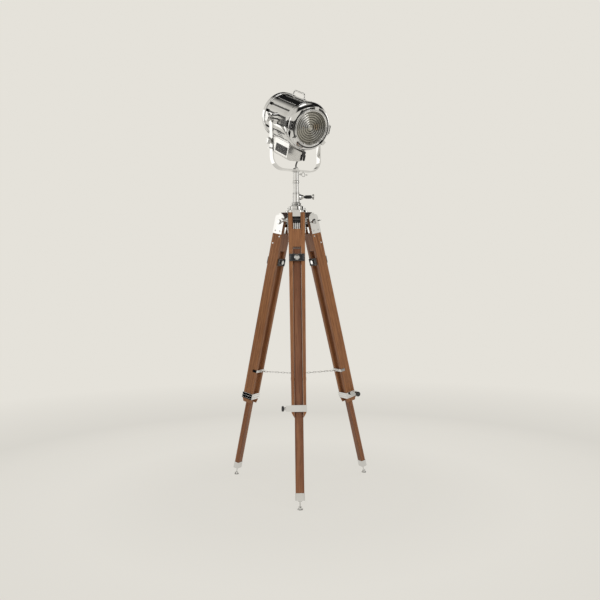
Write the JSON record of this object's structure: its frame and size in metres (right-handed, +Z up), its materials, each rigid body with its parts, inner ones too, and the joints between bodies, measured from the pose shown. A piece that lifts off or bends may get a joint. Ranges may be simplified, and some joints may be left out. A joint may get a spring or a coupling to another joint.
{
  "type": "tripod spotlight floor lamp",
  "caption": "Floor lamp: a lens spotlight in a tilting, turning yoke on a sliding mast, carried by a wooden tripod whose legs fold and telescope.",
  "frame": {"origin": "on the floor, at the middle of the lamp's footprint box; the mast axis stands at y = +0.0815", "axes": "+Z up along the mast, -Y towards the front leg, +X to the right seen from the front"},
  "size_m": [0.5894, 0.528, 1.6558],
  "materials": {
    "polished_chrome": "polished nickel-chrome plate",
    "walnut_rail": "satin lacquered reddish brown hardwood",
    "walnut_slider": "satin lacquered brown hardwood",
    "dark_wood": "satin dark stained hardwood",
    "black_phenolic": "polished black moulded plastic",
    "black_steel": "satin black paint",
    "black_rubber": "matte",
    "lens_glass": "pressed clear glass",
    "bulb_glass": "clear warm glass",
    "white_ceramic": "glazed",
    "plain_steel": "bare steel",
    "mirror": "polished reflector"
  },
  "bodies": {
    "stand": {"crown_block": "dark_wood", "crown_casting": "polished_chrome", "hinge_barrels": "black_phenolic", "mast_socket": "polished_chrome", "spreader_ring": "polished_chrome"},
    "mast_lock": {"mast_lock_screw": "black_phenolic"},
    "mast": {"mast_tube": "polished_chrome"},
    "yoke": {"yoke_strap": "polished_chrome", "yoke_socket": "polished_chrome"},
    "pan_lock": {"pan_lock_screw": "polished_chrome"},
    "brake_knob": {"arm_brake_knob": "polished_chrome"},
    "head": {"drum_shell": "polished_chrome", "rear_cover": "polished_chrome", "front_rim": "polished_chrome", "top_handle": "polished_chrome", "lamp_housing": "polished_chrome", "vent_panels": "black_steel", "trunnions": "polished_chrome", "cable_lead": "black_rubber"},
    "left_tilt_knob": {"tilt_knob_left": "black_phenolic"},
    "right_tilt_knob": {"tilt_knob_right": "black_phenolic"},
    "door": {"lens_bezel": "polished_chrome", "fresnel_lens": "lens_glass", "filter_ears": "polished_chrome"},
    "latch": {"door_latch": "black_steel"},
    "carriage": {"focus_carriage": "plain_steel", "reflector": "mirror", "lamp_holder": "white_ceramic", "bulb": "bulb_glass", "focus_rod": "black_phenolic"},
    "leg_front": {"leg_front_rails": "walnut_rail", "leg_front_hinge_plates": "polished_chrome", "leg_front_straps": "polished_chrome", "leg_front_chain": "polished_chrome"},
    "leg_front_wing_nut": {"leg_front_wing_nut": "polished_chrome"},
    "leg_front_clamp_screw": {"leg_front_clamp_screw": "black_phenolic"},
    "leg_front_slider": {"leg_front_slider": "walnut_slider", "leg_front_guide_clamp": "black_steel", "leg_front_ferrule": "polished_chrome"},
    "leg_front_foot": {"leg_front_foot": "polished_chrome"},
    "leg_right": {"leg_right_rails": "walnut_rail", "leg_right_hinge_plates": "polished_chrome", "leg_right_straps": "polished_chrome", "leg_right_chain": "polished_chrome"},
    "leg_right_wing_nut": {"leg_right_wing_nut": "polished_chrome"},
    "leg_right_clamp_screw": {"leg_right_clamp_screw": "black_phenolic"},
    "leg_right_slider": {"leg_right_slider": "walnut_slider", "leg_right_guide_clamp": "black_steel", "leg_right_ferrule": "polished_chrome"},
    "leg_right_foot": {"leg_right_foot": "polished_chrome"},
    "leg_left": {"leg_left_rails": "walnut_rail", "leg_left_hinge_plates": "polished_chrome", "leg_left_straps": "polished_chrome", "leg_left_chain": "polished_chrome"},
    "leg_left_wing_nut": {"leg_left_wing_nut": "polished_chrome"},
    "leg_left_clamp_screw": {"leg_left_clamp_screw": "black_phenolic"},
    "leg_left_slider": {"leg_left_slider": "walnut_slider", "leg_left_guide_clamp": "black_steel", "leg_left_ferrule": "polished_chrome"},
    "leg_left_foot": {"leg_left_foot": "polished_chrome"}
  },
  "joints": [
    {"name": "mast_lock_turn", "type": "hinge", "parent": "stand", "child": "mast_lock", "pos_m": [0, 0.0815, 1.199], "axis": [1, 0, 0], "range_deg": [-540, 0]},
    {"name": "mast_slide", "type": "slide", "parent": "stand", "child": "mast", "axis": [0, 0, 1], "range_m": [0, 0.16]},
    {"name": "yoke_pan", "type": "hinge", "parent": "mast", "child": "yoke", "pos_m": [0, 0.0815, 1.256], "axis": [0, 0, 1], "range_deg": [-170, 170]},
    {"name": "pan_lock_turn", "type": "hinge", "parent": "yoke", "child": "pan_lock", "pos_m": [0, 0.0815, 1.296], "axis": [0.8572, 0.515, 0], "range_deg": [-450, 0]},
    {"name": "brake_knob_turn", "type": "hinge", "parent": "yoke", "child": "brake_knob", "pos_m": [-0.10007, 0.02137, 1.42275], "axis": [0.8572, 0.515, 0], "range_deg": [-450, 0]},
    {"name": "head_tilt", "type": "hinge", "parent": "yoke", "child": "head", "pos_m": [0, 0.0815, 1.51775], "axis": [0.8572, 0.515, 0], "range_deg": [-45, 28], "deforming": ["cable_lead"]},
    {"name": "left_tilt_knob_turn", "type": "hinge", "parent": "head", "child": "left_tilt_knob", "pos_m": [-0.10007, 0.02137, 1.51775], "axis": [0.8572, 0.515, 0], "range_deg": [-450, 0]},
    {"name": "right_tilt_knob_turn", "type": "hinge", "parent": "head", "child": "right_tilt_knob", "pos_m": [0.10007, 0.14163, 1.51775], "axis": [0.8572, 0.515, 0], "range_deg": [-450, 0]},
    {"name": "door_swing", "type": "hinge", "parent": "head", "child": "door", "pos_m": [0.13786, 0.05205, 1.47287], "axis": [0.2177, -0.3623, 0.9063], "range_deg": [0, 110]},
    {"name": "latch_lift", "type": "hinge", "parent": "door", "child": "latch", "pos_m": [-0.035, -0.05732, 1.47067], "axis": [0.2177, -0.3623, 0.9063], "range_deg": [0, 50]},
    {"name": "focus_slide", "type": "slide", "parent": "head", "child": "carriage", "axis": [0.4668, -0.7769, -0.4226], "range_m": [-0.015, 0.015]},
    {"name": "leg_front_fold", "type": "hinge", "parent": "stand", "child": "leg_front", "pos_m": [0, 0.0175, 1.097], "axis": [1, 0, 0], "range_deg": [0, 12], "deforming": ["leg_front_chain"]},
    {"name": "leg_front_wing_nut_turn", "type": "hinge", "parent": "leg_front", "child": "leg_front_wing_nut", "pos_m": [-0.04, 0.0175, 1.097], "axis": [1, 0, 0], "range_deg": [0, 450]},
    {"name": "leg_front_clamp_turn", "type": "hinge", "parent": "leg_front", "child": "leg_front_clamp_screw", "pos_m": [-0.05, -0.1763, 0.35988], "axis": [1, 0, 0], "range_deg": [0, 450]},
    {"name": "leg_front_slide", "type": "slide", "parent": "leg_front", "child": "leg_front_slider", "axis": [0, -0.2339, -0.9723], "range_m": [0, 0.4]},
    {"name": "leg_front_foot_tilt", "type": "hinge", "parent": "leg_front_slider", "child": "leg_front_foot", "pos_m": [0, -0.2445, 0.008], "axis": [1, 0, 0], "range_deg": [-14, 14]},
    {"name": "leg_right_fold", "type": "hinge", "parent": "stand", "child": "leg_right", "pos_m": [0.05543, 0.1135, 1.097], "axis": [-0.5, 0.866, 0], "range_deg": [0, 12], "deforming": ["leg_right_chain"]},
    {"name": "leg_right_wing_nut_turn", "type": "hinge", "parent": "leg_right", "child": "leg_right_wing_nut", "pos_m": [0.07543, 0.07886, 1.097], "axis": [-0.5, 0.866, 0], "range_deg": [0, 450]},
    {"name": "leg_right_clamp_turn", "type": "hinge", "parent": "leg_right", "child": "leg_right_clamp_screw", "pos_m": [0.24826, 0.1671, 0.35988], "axis": [-0.5, 0.866, 0], "range_deg": [0, 450]},
    {"name": "leg_right_slide", "type": "slide", "parent": "leg_right", "child": "leg_right_slider", "axis": [0.2026, 0.117, -0.9723], "range_m": [0, 0.4]},
    {"name": "leg_right_foot_tilt", "type": "hinge", "parent": "leg_right_slider", "child": "leg_right_foot", "pos_m": [0.28232, 0.2445, 0.008], "axis": [-0.5, 0.866, 0], "range_deg": [-14, 14]},
    {"name": "leg_left_fold", "type": "hinge", "parent": "stand", "child": "leg_left", "pos_m": [-0.05543, 0.1135, 1.097], "axis": [-0.5, -0.866, 0], "range_deg": [0, 12], "deforming": ["leg_left_chain"]},
    {"name": "leg_left_wing_nut_turn", "type": "hinge", "parent": "leg_left", "child": "leg_left_wing_nut", "pos_m": [-0.03543, 0.14814, 1.097], "axis": [-0.5, -0.866, 0], "range_deg": [0, 450]},
    {"name": "leg_left_clamp_turn", "type": "hinge", "parent": "leg_left", "child": "leg_left_clamp_screw", "pos_m": [-0.19826, 0.2537, 0.35988], "axis": [-0.5, -0.866, 0], "range_deg": [0, 450]},
    {"name": "leg_left_slide", "type": "slide", "parent": "leg_left", "child": "leg_left_slider", "axis": [-0.2026, 0.117, -0.9723], "range_m": [0, 0.4]},
    {"name": "leg_left_foot_tilt", "type": "hinge", "parent": "leg_left_slider", "child": "leg_left_foot", "pos_m": [-0.28232, 0.2445, 0.008], "axis": [-0.5, -0.866, 0], "range_deg": [-14, 14]}
  ]
}
